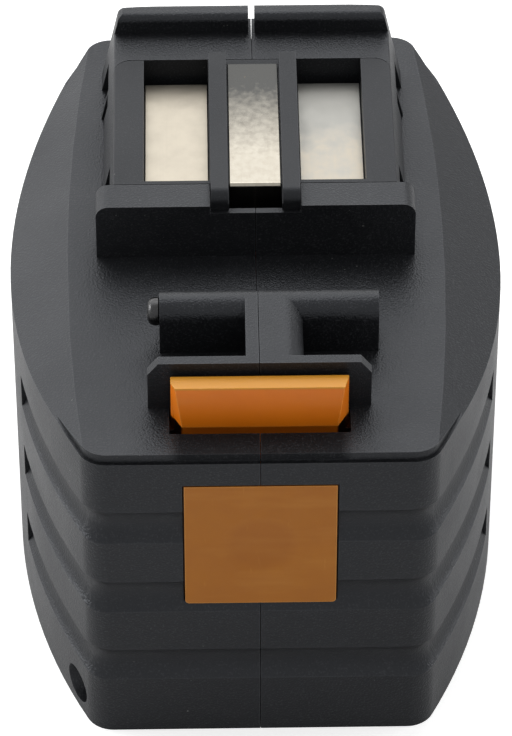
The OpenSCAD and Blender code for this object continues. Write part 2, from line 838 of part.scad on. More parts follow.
// A welded link between two neighbouring cells
module link(i, z) {
    a = cell_place(i);
    b = cell_place(i + 1);
    d = b - a;
    color("#b9b6ac") translate([a[0], a[1], z]) rotate([0, 0, atan2(d[1], d[0])]) {
        translate([0, -link_w / 2, 0]) cube([norm(d), link_w, link_t]);
        for (x = [0, norm(d)]) translate([x, 0, 0]) cylinder(h = link_t, r = link_w / 2);
    }
}

// Insulating cards below and above the cell block
module card(z) {
    color("#a9906a") intersection() {
        translate([0, 0, z]) linear_extrude(card_t) outline(wall + run);
        block([-case_w, block_y0, z], [case_w, block_y1, z + card_t]);
    }
}
module bottom_card() {
    card(wall);
}
module top_card() {
    difference() {
        card(card_z);
        for (i = [0, 9]) lead_hole(cell_place(i));
        translate([sense_down[0], sense_down[1], card_z - over])
            cylinder(h = card_t + 2 * over, r = 2 * sense_wire_r);
    }
}
module lead_hole(p) {
    block([p[0] - link_w / 2 - run, p[1] - link_w / 2 - run, card_z - over],
        [p[0] + link_w / 2 + run, p[1] + link_w / 2 + run, card_z + card_t + over]);
}

// Foam strips beside the cell block and on top of it
foam_share = 0.7;
module side_foam() {
    intersection() {
        translate([0, 0, cell_h / 4]) linear_extrude(cell_h * foam_share) outline(wall + fit);
        block([row_pitch + cell_d / 2, row_ys[1] - cell_d / 2, 0],
            [case_w, row_ys[2] + cell_d / 2, case_h]);
    }
}
module side_foam_right() {
    color("#5f6266") side_foam();
}
module side_foam_left() {
    color("#5f6266") mirror([1, 0, 0]) side_foam();
}
module top_foam() {
    block([foam_x0, row_ys[0], foam_z], [foam_x1, row_ys[3] + cell_d / 3, foam_z + foam_t]);
}
module top_foam_right() {
    color("#5f6266") top_foam();
}
module top_foam_left() {
    color("#5f6266") mirror([1, 0, 0]) top_foam();
}

// Flat nickel leads from the end cells up to the tails of the contact plates
lead_w = link_w;
lead_low = foam_z + foam_t;
lead_high = lead_low + foam_t;
module positive_lead() {
    p = cell_place(0);
    y_up = p[1] + link_w / 2 - link_t;
    color("#b9b6ac") {
        block([p[0] - lead_w / 2, p[1] - link_w / 2, cell_z1], [p[0] + lead_w / 2, y_up + link_t, card_z]);
        block([p[0] - lead_w / 2, y_up, cell_z1], [p[0] + lead_w / 2, y_up + link_t, lead_low + link_t]);
        block([p[0] - lead_w / 2, y_up, lead_low], [p[0] + lead_w / 2, tail_y1 + link_t, lead_low + link_t]);
        block([-contact_x - lead_w / 2, tail_y1, lead_low],
            [-contact_x + lead_w / 2, tail_y1 + link_t, tail_z + link_w]);
    }
}
module negative_lead() {
    p = cell_place(9);
    y_up = p[1] + link_w / 2 - link_t;
    y_in = y_up - lead_w;
    color("#b9b6ac") {
        block([p[0] - lead_w / 2, p[1] - link_w / 2, cell_z1], [p[0] + lead_w / 2, y_up + link_t, card_z]);
        block([p[0] - lead_w / 2, y_up, cell_z1], [p[0] + lead_w / 2, y_up + link_t, lead_high + link_t]);
        block([p[0] - lead_w / 2, y_in + lead_w / 2, lead_high],
            [contact_x + lead_w / 2, y_up + link_t, lead_high + link_t]);
        block([contact_x - lead_w / 2, tail_y1, lead_high],
            [contact_x + lead_w / 2, y_up, lead_high + link_t]);
        block([contact_x - lead_w / 2, tail_y1, lead_high],
            [contact_x + lead_w / 2, tail_y1 + link_t, tail_z + link_w]);
    }
}
// The cutout lies on the negative lead, and the thermistor stands between four cells
cutout_size = [11, 5, 3.4];
module thermal_cutout() {
    y = cell_place(9)[1] + link_w / 2 - cutout_size[1];
    color("#d8d4c8") block([-cutout_size[0] / 2, y, lead_high + link_t],
        [cutout_size[0] / 2, y + cutout_size[1], lead_high + link_t + cutout_size[2]]);
}
sense_wire_r = 0.8;
sense_down = [row_pitch / 2, (row_ys[1] + row_ys[2]) / 2];
thermistor_l = cell_h / 3;
thermistor_drop = 2;
thermistor_z = cell_z1 - thermistor_l - thermistor_drop;
module thermistor() {
    color("#3a3c40") translate([sense_down[0], sense_down[1], thermistor_z])
        cylinder(h = thermistor_l, r = 3 * sense_wire_r);
}
module sense_lead() {
    from = [0, sense_y0 + sense_t / 2];
    way = sense_down - from;
    z = lead_high + link_w / 2;
    knee_share = 1.25;
    color("#7a2f28") {
        translate([from[0], from[1], z]) cylinder(h = sense_tail_z - z, r = sense_wire_r);
        translate([from[0], from[1], z]) rotate([0, 90, atan2(way[1], way[0])])
            cylinder(h = norm(way), r = sense_wire_r);
        translate([sense_down[0], sense_down[1], thermistor_z + thermistor_l])
            cylinder(h = z - thermistor_z - thermistor_l, r = sense_wire_r);
        for (p = [from, sense_down]) translate([p[0], p[1], z]) sphere(sense_wire_r * knee_share);
    }
}

left_case_half();
right_case_half();
case_screws();
contact_carrier();
positive_contact();
negative_contact();
sense_contact();
release_button();
latch();
latch_spring_left();
latch_spring_right();
for (i = [0 : 9]) cell(i);
for (i = [0 : 4]) link(2 * i, wall + card_t);
for (i = [0 : 3]) link(2 * i + 1, cell_z1);
bottom_card();
top_card();
side_foam_left();
side_foam_right();
top_foam_left();
top_foam_right();
positive_lead();
negative_lead();
thermal_cutout();
thermistor();
sense_lead();
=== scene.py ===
from math import cos, radians, sin

import bmesh
import bpy
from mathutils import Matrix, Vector


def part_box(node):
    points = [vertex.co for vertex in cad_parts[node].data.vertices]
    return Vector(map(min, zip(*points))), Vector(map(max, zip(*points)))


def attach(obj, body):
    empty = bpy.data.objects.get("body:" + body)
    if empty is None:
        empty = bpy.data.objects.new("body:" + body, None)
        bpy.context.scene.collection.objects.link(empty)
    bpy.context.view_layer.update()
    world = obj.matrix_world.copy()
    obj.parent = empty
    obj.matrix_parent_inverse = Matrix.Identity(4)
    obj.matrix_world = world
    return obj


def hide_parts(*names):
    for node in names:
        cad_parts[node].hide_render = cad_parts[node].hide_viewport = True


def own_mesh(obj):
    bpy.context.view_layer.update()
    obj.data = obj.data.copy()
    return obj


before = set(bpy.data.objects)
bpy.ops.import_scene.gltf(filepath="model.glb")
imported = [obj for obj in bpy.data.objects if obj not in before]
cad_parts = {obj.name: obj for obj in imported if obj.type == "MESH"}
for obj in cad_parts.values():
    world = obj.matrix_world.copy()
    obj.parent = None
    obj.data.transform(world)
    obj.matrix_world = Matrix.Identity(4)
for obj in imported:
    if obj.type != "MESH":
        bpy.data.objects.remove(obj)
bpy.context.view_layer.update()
bpy.ops.object.select_all(action="DESELECT")

# ---------------------------------------------------------------------------------------------
# Case halves. Two mouldings of black glass-filled nylon, screwed together from the left side.
# Their outside is spark-grained, the edges are left a little soft by the mould, and handling
# has polished the high places. Before the latch, a painted shadow of the nose dulls the top.
# ---------------------------------------------------------------------------------------------
case_black = (0.0066, 0.0070, 0.0080, 1)
case_rub = (0.016, 0.0165, 0.018, 1)
dust_grey = (0.16, 0.16, 0.155, 1)
cool_sheen = (0.885, 0.925, 1.0, 1)
case_roughness, case_specular = 0.40, 0.29
case_grain, case_grain_depth = 0.00034, 0.00009
cloud_size, scuff_size = 0.018, 0.0016
dust_size, dust_patch_size = 0.0007, 0.012
wear_reach = 0.0003
case_edge = 0.00035
edge_steps, edge_limit = 2, radians(25)
smooth_limit = radians(32)
merge_distance = 1e-6
flat_limit = radians(0.6)
# the painted shadow of the latch nose lies within these bounds
sill_x = (0.0133, 0.0153)
sill_y = (-0.0475, -0.0473)
sill_z = (0.0636, 0.0640)
sill_shadow_gloss = 0.2


def node_in(material, kind, **values):
    """A new shader node with its sockets or settings filled in."""
    node = material.node_tree.nodes.new("ShaderNode" + kind)
    for key, value in values.items():
        if key in node.inputs:
            node.inputs[key].default_value = value
        else:
            setattr(node, key, value)
    return node


def join(material, out, socket):
    material.node_tree.links.new(out, socket)


def new_finish(name, **shader_values):
    """A material with one Principled shader. Returns it, the shader and the place node."""
    material = bpy.data.materials.new(name)
    material.use_nodes = True
    tree = material.node_tree
    tree.nodes.clear()
    shader = node_in(material, "BsdfPrincipled")
    for key, value in shader_values.items():
        shader.inputs[key.replace("_", " ")].default_value = value
    output = node_in(material, "OutputMaterial")
    join(material, shader.outputs[0], output.inputs[0])
    place = node_in(material, "TexCoord")
    return material, shader, place


def axes(material, place):
    """The x, y and z of the Object coordinates."""
    split = node_in(material, "SeparateXYZ")
    join(material, place.outputs["Object"], split.inputs[0])
    return split.outputs


def speckle(material, place, size, detail=3.0, stretch=(1, 1, 1), at=(0, 0, 0)):
    """Noise whose blotches are about size metres across, on Object coordinates."""
    mapping = node_in(material, "Mapping")
    mapping.inputs["Location"].default_value = at
    mapping.inputs["Scale"].default_value = stretch
    join(material, place.outputs["Object"], mapping.inputs["Vector"])
    noise = node_in(material, "TexNoise", Scale=1.0 / size, Detail=detail, Roughness=0.55)
    join(material, mapping.outputs[0], noise.inputs["Vector"])
    return noise.outputs["Fac"]


def span(material, value, low=0.3, high=0.7, to_low=0.0, to_high=1.0):
    """Value between low and high, stretched to another range and held inside it."""
    node = node_in(material, "MapRange", clamp=True)
    join(material, value, node.inputs["Value"])
    limits = {"From Min": low, "From Max": high, "To Min": to_low, "To Max": to_high}
    for key, number in limits.items():
        node.inputs[key].default_value = number
    return node.outputs["Result"]


def around(material, noise, middle, less, more):
    """A value that the noise moves about its middle."""
    return span(material, noise, to_low=middle - less, to_high=middle + more)


def tint(material, share, first, second):
    """First colour where share is 0, second where it is 1. Each is a colour or an output."""
    node = node_in(material, "Mix", data_type="RGBA")
    join(material, share, node.inputs[0])
    for colour, socket in ((first, node.inputs[6]), (second, node.inputs[7])):
        if isinstance(colour, tuple):
            socket.default_value = colour
        else:
            join(material, colour, socket)
    return node.outputs[2]


def stronger(colour, factor):
    return tuple(factor * part for part in colour[:3]) + (1,)


def work_out(material, kind, first, second):
    """One Math node on two values, each an output or a number."""
    node = node_in(material, "Math", operation=kind)
    for value, socket in ((first, node.inputs[0]), (second, node.inputs[1])):
        if isinstance(value, (int, float)):
            socket.default_value = value
        else:
            join(material, value, socket)
    return node.outputs[0]


def times(material, first, second):
    return work_out(material, "MULTIPLY", first, second)


def outward(material, value):
    """Distance from the middle plane."""
    return work_out(material, "ABSOLUTE", value, 0)


def relief(material, shader, height, depth, below=None):
    """Bump of the given depth in metres, over an earlier bump if there is one."""
    bump = node_in(material, "Bump", Distance=depth)
    join(material, height, bump.inputs["Height"])
    if below is not None:
        join(material, below, bump.inputs["Normal"])
    join(material, bump.outputs[0], shader.inputs["Normal"])
    return bump.outputs[0]


def outer_edge(material, reach):
    """1 along edges that stick out, 0 on flats and in inner corners, within reach metres."""
    rounded = node_in(material, "Bevel", samples=4, Radius=reach)
    surface = node_in(material, "NewGeometry")
    turn = node_in(material, "VectorMath", operation="DOT_PRODUCT")
    join(material, rounded.outputs[0], turn.inputs[0])
    join(material, surface.outputs["Normal"], turn.inputs[1])
    shade = node_in(material, "AmbientOcclusion", samples=4, Distance=4 * reach)
    edge = span(material, turn.outputs["Value"], 0.965, 0.995, 1, 0)
    return times(material, edge, span(material, shade.outputs["AO"], 0.8, 0.97))


def grained_plastic(name, colour, rubbed, roughness, grain, depth, specular, marks=None):
    """Spark-grained moulding: fine grain, slow clouds, dust, and edges that handling rubbed."""
    material, shader, place = new_finish(
        name, Specular_IOR_Level=specular, Specular_Tint=cool_sheen
    )
    fine = speckle(material, place, grain, 1.0)
    cloud = speckle(material, place, cloud_size)
    scuff = speckle(material, place, scuff_size, 4.0, stretch=(1, 0.22, 1))
    specks = speckle(material, place, dust_size, 1.0, at=(5, 2, 7))
    dusty = speckle(material, place, dust_patch_size, 2.0, at=(1, 6, 3))
    dust = times(
        material, span(material, specks, 0.78, 0.8), span(material, dusty, 0.5, 0.62, 0, 0.9)
    )
    rub = outer_edge(material, wear_reach)
    rub = times(material, rub, span(material, cloud, 0.35, 0.7, 0.35, 1.0))
    light = work_out(material, "MAXIMUM", rub, span(material, scuff, 0.62, 0.9, 0, 0.45))
    base = tint(material, span(material, cloud), colour, stronger(colour, 1.16))
    base = tint(material, span(material, fine, 0.35, 0.75, 0, 0.5), base, rubbed)
    base = tint(material, span(material, fine, 0.6, 0.68, 0, 0.8), base, stronger(rubbed, 1.7))
    base = tint(material, light, base, stronger(rubbed, 2.2))
    base = tint(material, dust, base, dust_grey)
    join(material, base, shader.inputs["Base Color"])
    rough = around(material, cloud, roughness, 0.05, 0.05)
    rough = work_out(material, "ADD", rough, around(material, fine, 0, 0.04, 0.04))
    rough = work_out(material, "SUBTRACT", rough, span(material, rub, 0, 1, 0, 0.1))
    join(material, rough, shader.inputs["Roughness"])
    if marks:
        marks(material, shader, place)
    relief(material, shader, fine, depth)
    return material


def painted_sill_shadow(material, shader, place):
    """Painted shadow of the latch nose: takes the gloss off the strip of the top before the
    latch.
    """
    x, y, z = axes(material, place)
    share = span(material, outward(material, x), *sill_x, 1, 0)
    share = times(material, share, span(material, y, *sill_y, 1, 0))
    share = times(material, share, span(material, z, *sill_z))
    gloss = span(material, share, 0, 1, case_specular, case_specular * sill_shadow_gloss)
    join(material, gloss, shader.inputs["Specular IOR Level"])


def take(piece):
    """Selects one piece alone and makes it the active one."""
    bpy.ops.object.select_all(action="DESELECT")
    bpy.context.view_layer.objects.active = piece
    piece.select_set(True)


def softened(node, width, flat=flat_limit, reshape=None):
    """A copy of a CAD node whose hard edges get the small radius that the real piece has."""
    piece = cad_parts[node].copy()
    piece.data = piece.data.copy()
    piece.parent = None
    for key in list(piece.keys()):
        del piece[key]
    piece.name = node + "_soft"
    bpy.context.scene.collection.objects.link(piece)
    take(piece)
    bpy.ops.object.mode_set(mode="EDIT")
    bpy.ops.mesh.select_all(action="SELECT")
    bpy.ops.mesh.remove_doubles(threshold=merge_distance)
    bpy.ops.mesh.dissolve_limited(angle_limit=flat)
    if reshape:
        reshape(piece)
    bpy.ops.object.mode_set(mode="OBJECT")
    bevel = piece.modifiers.new("edge", "BEVEL")
    bevel.width = width
    bevel.segments = edge_steps
    bevel.limit_method = "ANGLE"
    bevel.angle_limit = edge_limit
    bevel.miter_outer = "MITER_ARC"
    bpy.ops.object.modifier_apply(modifier="edge")
    bpy.ops.object.shade_smooth_by_angle(angle=smooth_limit)
    shading = piece.modifiers.new("flat", "WEIGHTED_NORMAL")
    shading.keep_sharp = True
    bpy.ops.object.modifier_apply(modifier="flat")
    return piece


def finish_piece(piece, material, body, slot, *nodes):
    """Gives a piece its finish and its place in the frame."""
    piece.data.materials.clear()
    piece.data.materials.append(material)
    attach(piece, body)
    if nodes:
        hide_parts(*nodes)


case_finish = grained_plastic(
    "case_grained", case_black, case_rub, case_roughness, case_grain, case_grain_depth,
    case_specular, painted_sill_shadow
)
for side in ("left", "right"):
    half = softened(side + "_case_half", case_edge)
    finish_piece(half, case_finish, "case", "case", side + "_case_half")

# ---------------------------------------------------------------------------------------------
# Case screws. Thread-forming pan-head screws of blackened steel, rolled, with a pressed cross
# recess. They go in from the left, and their threads cut into the bosses of the right half.
# ---------------------------------------------------------------------------------------------
steel_dark = (0.045, 0.045, 0.046, 1)
steel_worn = (0.20, 0.195, 0.185, 1)
screw_roughness = 0.30
steel_fine, steel_blotch, steel_depth = 0.00025, 0.0015, 0.000006
steel_edge_reach = 0.0001
screw_places = ((-0.0486, 0.0052), (0.0496, 0.0052), (0.0496, 0.0566), (-0.0265, 0.0717))
screw_seat_x = -0.0165
screw_shank = 0.026
screw_core_r = 0.00112
screw_neck = (0.00135, 0.0001)
screw_neck_h = 0.0007
screw_head_r = 0.0024
screw_head_h = 0.0021
# radius and distance from the end of the shank
screw_tip = ((0.0002, 0.0001), (0.0006, 0.0008), (screw_core_r, 0.0022))
# share of the head's radius and height above the seat
head_dome = ((1, 0.0002), (1, 0.0008), (0.95, 0.0013), (0.82, 0.0017), (0.62, 0.00197))
head_rim = 0.0002
head_flat, head_flat_drop = 0.3, 0.00003
thread_start, thread_pitch, thread_turns = 0.0012, 0.0011, 21
thread_r, thread_out, thread_sides = 0.00033, 0.2, 3
coil_steps = 28
cross_w, cross_d = 0.00062, 0.0013
cross_reach = 0.62 * screw_head_r
cross_taper = (0.55, 0.8, 1)


def turned(name, profile, sides=48, smooth=40):
    """A turned piece along Z. The profile lists radius and height, from the foot to the top."""
    bpy.ops.object.select_all(action="DESELECT")
    radius, height = profile[0]
    bpy.ops.mesh.primitive_circle_add(vertices=sides, radius=radius, fill_type="NGON")
    piece = bpy.context.object
    piece.name = name
    bpy.ops.object.mode_set(mode="EDIT")
    bpy.ops.mesh.select_mode(type="FACE")
    bpy.ops.mesh.select_all(action="SELECT")
    bpy.ops.transform.translate(value=(0, 0, height))
    for next_radius, next_height in profile[1:]:
        rise = {"value": (0, 0, next_height - height)}
        bpy.ops.mesh.extrude_region_move(TRANSFORM_OT_translate=rise)
        share = next_radius / radius
        bpy.ops.transform.resize(value=(share, share, 1), center_override=(0, 0, 0))
        radius, height = next_radius, next_height
    bpy.ops.mesh.select_all(action="SELECT")
    bpy.ops.mesh.normals_make_consistent(inside=False)
    bpy.ops.object.mode_set(mode="OBJECT")
    bpy.ops.object.shade_smooth_by_angle(angle=radians(smooth))
    return piece


def coil(name, wire_r, coil_r, sides, parts):
    """A wire wound about Z. Each part has its start height, its pitch and its whole turns."""
    made = []
    for start, pitch, turns in parts:
        bpy.ops.object.select_all(action="DESELECT")
        bpy.ops.mesh.primitive_circle_add(vertices=sides, radius=wire_r)
        piece = bpy.context.object
        bpy.ops.object.mode_set(mode="EDIT")
        bpy.ops.mesh.select_all(action="SELECT")
        bpy.ops.transform.rotate(value=radians(90), orient_axis="X", center_override=(0, 0, 0))
        bpy.ops.transform.translate(value=(coil_r, 0, start))
        bpy.ops.object.mode_set(mode="OBJECT")
        turn = piece.modifiers.new("turn", "SCREW")
        turn.screw_offset = pitch
        turn.iterations = turns
        turn.steps = turn.render_steps = coil_steps
        bpy.ops.object.modifier_apply(modifier="turn")
        made.append(piece)
    bpy.ops.object.select_all(action="DESELECT")
    for piece in made:
        piece.select_set(True)
    bpy.context.view_layer.objects.active = made[0]
    if len(made) > 1:
        bpy.ops.object.join()
    piece = bpy.context.object
    piece.name = name
    bpy.ops.object.mode_set(mode="EDIT")
    bpy.ops.mesh.select_all(action="SELECT")
    bpy.ops.mesh.remove_doubles(threshold=wire_r / 50)
    bpy.ops.mesh.fill_holes(sides=sides)
    bpy.ops.mesh.select_all(action="SELECT")
    bpy.ops.mesh.normals_make_consistent(inside=False)
    bpy.ops.object.mode_set(mode="OBJECT")
    bpy.ops.object.shade_smooth_by_angle(angle=radians(40))
    return piece


def set_down(piece, turn, axis, place):
    """Turns the mesh of a piece about an axis through the origin, then moves it to its place."""
    take(piece)
    bpy.ops.object.mode_set(mode="EDIT")
    bpy.ops.mesh.select_all(action="SELECT")
    if turn:
        bpy.ops.transform.rotate(value=turn, orient_axis=axis, center_override=(0, 0, 0))
    bpy.ops.transform.translate(value=place)
    bpy.ops.object.mode_set(mode="OBJECT")


def another(piece, name):
    """A copy of a piece with a mesh of its own."""
    copy = piece.copy()
    copy.data = piece.data.copy()
    copy.name = name
    bpy.context.scene.collection.objects.link(copy)
    return copy


def worn_steel(name, dark, worn, roughness):
    """Metal with a dark finish, worn through at the edges and along fine lines."""
    material, shader, place = new_finish(name, Metallic=1.0)
    fine = speckle(material, place, steel_fine)
    blotch = speckle(material, place, steel_blotch)
    edge = outer_edge(material, steel_edge_reach)
    share = times(material, edge, span(material, blotch, 0.35, 0.65, 0.3, 1.0))
    share = work_out(material, "MAXIMUM", share, span(material, fine, 0.62, 0.8, 0, 0.5))
    join(material, tint(material, share, dark, worn), shader.inputs["Base Color"])
    join(material, around(material, blotch, roughness, 0.08, 0.1), shader.inputs["Roughness"])
    relief(material, shader, fine, steel_depth)
    return material


screw = turned("screw", (
    *((radius, screw_shank - back) for radius, back in screw_tip),
    (screw_core_r, screw_neck_h), screw_neck, (screw_head_r - head_rim, 0),
    *((screw_head_r * share, -rise) for share, rise in head_dome),
    (screw_head_r * head_flat, -screw_head_h + head_flat_drop)
), smooth=35)
for turn in (0, 90):
    bpy.ops.object.select_all(action="DESELECT")
    bpy.ops.mesh.primitive_cube_add(size=1)
    cutter = bpy.context.object
    bpy.ops.object.mode_set(mode="EDIT")
    bpy.ops.mesh.select_all(action="SELECT")
    bpy.ops.transform.resize(value=(2 * cross_reach, cross_w, 2 * cross_d))
    bpy.ops.mesh.select_all(action="DESELECT")
    bpy.ops.mesh.select_mode(type="FACE")
    shape = bmesh.from_edit_mesh(cutter.data)
    for face in shape.faces:
        face.select_set(face.normal.z > 0.9)
    bpy.ops.transform.resize(value=cross_taper)
    bpy.ops.mesh.select_all(action="SELECT")
    bpy.ops.transform.rotate(value=radians(turn), orient_axis="Z", center_override=(0, 0, 0))
    bpy.ops.transform.translate(value=(0, 0, -screw_head_h))
    bpy.ops.object.mode_set(mode="OBJECT")
    take(screw)
    cut = screw.modifiers.new("cross", "BOOLEAN")
    cut.object = cutter
    cut.operation = "DIFFERENCE"
    bpy.ops.object.modifier_apply(modifier="cross")
    bpy.data.objects.remove(cutter)
thread_turn = [(thread_start, thread_pitch, thread_turns)]
thread_middle_r = screw_core_r + thread_r * thread_out
thread = coil("thread", thread_r, thread_middle_r, thread_sides, thread_turn)
take(screw)
thread.select_set(True)
bpy.ops.object.join()
screw_finish = worn_steel("screw_blackened", steel_dark, steel_worn, screw_roughness)
set_down(screw, radians(-90), "Y", (screw_seat_x, 0, 0))
for number, (y, z) in enumerate(screw_places, 1):
    one = another(screw, f"case_screw_{number}")
    set_down(one, 0, "X", (0, y, z))
    finish_piece(one, screw_finish, "case", "screw", "case_screws")
bpy.data.objects.remove(screw)

# ---------------------------------------------------------------------------------------------
# Cells. Ten drawn steel cans, each in a shrunk PVC sleeve that folds over both ends. The can is
# rolled in below its lid, and a pressed cap is welded on the lid as the terminal.
# ---------------------------------------------------------------------------------------------
sleeve_green = (0.12, 0.235, 0.105, 1)
sleeve_pale = (0.17, 0.30, 0.15, 1)
cell_steel = (0.56, 0.55, 0.53, 1)
cell_stain = (0.33, 0.31, 0.28, 1)
can_roughness = 0.3
film_wave, film_wave_depth = 0.004, 0.00008
film_fine, film_fine_depth = 0.0005, 0.000008
cell_count = 10
cell_low, cell_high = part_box("cell_1")
cell_r = (cell_high.x - cell_low.x) / 2
cell_h = cell_high.z - cell_low.z
terminal_h = 0.0008
sleeve_t = 0.00016
fold_w = 0.0019
can_hem = fold_w + 0.0001
cap_r = cell_r * 0.38
cap_flat_r = 0.0004
cell_sides = 64
# inset from the radius, and height above the foot
sleeve_foot = ((fold_w, 0.00002), (0.0006, 0.00002), (0.0002, 0.0002), (0, 0.0007))
can_foot = ((0.0046, 0.00022), (0.0042, 0.00001), (can_hem, 0.00001), (can_hem, 0.0004))
# inset from the radius, and distance below the top
sleeve_head = (
    (0, 0.0046), (0.00016, 0.0042), (0.0006, 0.0037), (0.00062, 0.0032), (0.0002, 0.0027),
    (0, 0.0023), (0, 0.0015), (0.0003, 0.001), (0.0009, terminal_h), (fold_w, terminal_h),
    (fold_w, terminal_h + sleeve_t), (0.0034, terminal_h + 0.0004)
)
cap_steps = (
    (0, terminal_h + 0.0006), (0, terminal_h + 0.0001), (0.0003, terminal_h - 0.0001),
    (0.0004, 0.0003), (0.0006, 0.00006), (0.001, 0.00001), (cap_r - cap_flat_r, 0.00001)
)


def shrunk_sleeve(name, colour, pale):
    """Shrunk film: even colour, slow waves along it and a soft shine."""
    material, shader, place = new_finish(name, Specular_IOR_Level=0.5, Coat_Weight=0.25)
    wave = speckle(material, place, film_wave, 2.0, stretch=(1, 1, 0.35))
    fine = speckle(material, place, film_fine, 2.0)
    base = tint(material, span(material, wave), colour, pale)
    join(material, base, shader.inputs["Base Color"])
    join(material, around(material, fine, 0.32, 0.06, 0.06), shader.inputs["Roughness"])
    soft = relief(material, shader, wave, film_wave_depth)
    relief(material, shader, fine, film_fine_depth, below=soft)
    return material


def from_foot(radius, steps):
    return [(radius - inset, rise) for inset, rise in steps]


def from_top(radius, steps):
    return [(radius - inset, cell_h - drop) for inset, drop in steps]


sleeve_profile = from_foot(cell_r, sleeve_foot) + from_top(cell_r, sleeve_head)
sleeve = turned("sleeve", sleeve_profile, cell_sides)
can = turned("can", from_foot(cell_r, can_foot), cell_sides)
cap = turned("cap", from_top(cap_r, cap_steps))
sleeve_finish = shrunk_sleeve("sleeve_green", sleeve_green, sleeve_pale)
can_finish = worn_steel("can_steel", cell_steel, cell_stain, can_roughness)
cell_parts = (
    (sleeve, "sleeve", sleeve_finish, "cell"),
    (can, "can", can_finish, "nickel"),
    (cap, "cap", can_finish, "nickel"),
)
for number in range(1, cell_count + 1):
    low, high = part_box(f"cell_{number}")
    middle = (low + high) / 2
    turn, foot = (0, low.z) if number % 2 else (radians(180), high.z)
    for part, label, finish, slot in cell_parts:
        one = another(part, f"cell_{label}_{number}")
        set_down(one, turn, "X", (middle.x, middle.y, foot))
        finish_piece(one, finish, "case", slot, f"cell_{number}")
for part in (sleeve, can, cap):
    bpy.data.objects.remove(part)

# ---------------------------------------------------------------------------------------------
# Cell links and leads. Rolled nickel strip, punched to length and spot-welded to the cells; the
# rolls leave fine lines along it, and the welds leave small burnt dimples.
# ---------------------------------------------------------------------------------------------
nickel = (0.60, 0.585, 0.545, 1)
nickel_dull = (0.44, 0.425, 0.39, 1)
weld_burn = (0.20, 0.165, 0.12, 1)
weld_pitch, weld_depth, weld_scatter = 0.0031, 0.00006, 0.12
roll_line, roll_depth, strip_patch = 0.0009, 0.000006, 0.0035


def rolled_strip(name, bright, dull, burn, pitch):
    """Rolled strip: fine lines, dull patches and rows of weld dimples."""
    material, shader, place = new_finish(name, Metallic=1.0)
    lines = speckle(material, place, roll_line, 4.0, stretch=(1, 0.08, 1))
    patch = speckle(material, place, strip_patch)
    mapping = node_in(material, "Mapping")
    mapping.inputs["Scale"].default_value = (1 / pitch, 1 / pitch, 0)
    join(material, place.outputs["Object"], mapping.inputs["Vector"])
    dots = node_in(material, "TexVoronoi", Scale=1.0, Randomness=weld_scatter)
    join(material, mapping.outputs[0], dots.inputs["Vector"])
    dimple = span(material, dots.outputs["Distance"], 0.12, 0.22, 1, 0)
    base = tint(material, span(material, patch, 0.35, 0.7), bright, dull)
    base = tint(material, span(material, lines, 0.5, 0.75, 0, 0.35), base, dull)
    base = tint(material, times(material, dimple, 0.7), base, burn)
    join(material, base, shader.inputs["Base Color"])
    join(material, around(material, patch, 0.34, 0.08, 0.08), shader.inputs["Roughness"])
    fine = relief(material, shader, lines, roll_depth)
    relief(material, shader, times(material, dimple, -1.0), weld_depth, below=fine)
    return material


def repaint(material, *names):
    """Gives CAD nodes their finish in place."""
    for name in names:
        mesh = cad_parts[name].data
        mesh.materials.clear()
        mesh.materials.append(material)


links = [f"bottom_link_{i}" for i in range(1, 6)] + [f"top_link_{i}" for i in range(1, 5)]
strip_finish = rolled_strip("nickel_strip", nickel, nickel_dull, weld_burn, weld_pitch)
repaint(strip_finish, *links, "positive_lead", "negative_lead")

# ---------------------------------------------------------------------------------------------
# Cell cards. Insulating cards of vulcanised fibre, punched from sheet, above and below the
# cells. Long pale and dark fibres lie in them.
# ---------------------------------------------------------------------------------------------
card_tan = (0.40, 0.29, 0.165, 1)
card_pale = (0.54, 0.42, 0.27, 1)
card_dark = (0.25, 0.17, 0.09, 1)
fibre_w, fibre_depth = 0.0008, 0.00003


def fibre_card(name, colour, pale, dark):
    """Pale fibres along X and dark ones along Y in a dull sheet."""
    material, shader, place = new_finish(name, Specular_IOR_Level=0.25)
    along = speckle(material, place, fibre_w, 4.0, stretch=(0.12, 1, 1))
    across = speckle(material, place, fibre_w, 4.0, stretch=(1, 0.12, 1), at=(3, 1, 0))
    base = tint(material, span(material, along, 0.55, 0.75, 0, 0.7), colour, pale)
    base = tint(material, span(material, across, 0.55, 0.75, 0, 0.6), base, dark)
    join(material, base, shader.inputs["Base Color"])
    join(material, around(material, along, 0.7, 0.1, 0.1), shader.inputs["Roughness"])
    relief(material, shader, work_out(material, "ADD", along, across), fibre_depth)
    return material


card_finish = fibre_card("fibre_card", card_tan, card_pale, card_dark)
repaint(card_finish, "bottom_card", "top_card")

# ---------------------------------------------------------------------------------------------
# Foam strips. Die-cut closed-cell foam beside the cells and on top of them; the cut faces show
# the open halves of small cells.
# ---------------------------------------------------------------------------------------------
foam_grey = (0.085, 0.088, 0.092, 1)
foam_deep_and_pit_shade = (0.03, 0.031, 0.033, 1)
bubbles_per_metre, bubble_depth = 1400.0, 0.00018
foam_cloud = 0.006


def cut_foam(name, colour, deep):
    """Open bubbles with painted shade in their pits, and slow clouds."""
    material, shader, place = new_finish(name, Specular_IOR_Level=0.2, Roughness=0.9)
    bubbles = node_in(material, "TexVoronoi", Scale=bubbles_per_metre)
    join(material, place.outputs["Object"], bubbles.inputs["Vector"])
    pit = span(material, bubbles.outputs["Distance"], 0.1, 0.55)
    cloud = speckle(material, place, foam_cloud)
    # painted shade: the pits of the bubbles are darker
    base = tint(material, pit, deep, colour)
    base = tint(material, span(material, cloud, 0.4, 0.8, 0, 0.4), base, deep)
    join(material, base, shader.inputs["Base Color"])
    relief(material, shader, pit, bubble_depth)
    return material


foam_finish = cut_foam("foam_grey", foam_grey, foam_deep_and_pit_shade)
repaint(foam_finish, "side_foam_left", "side_foam_right", "top_foam_left", "top_foam_right")

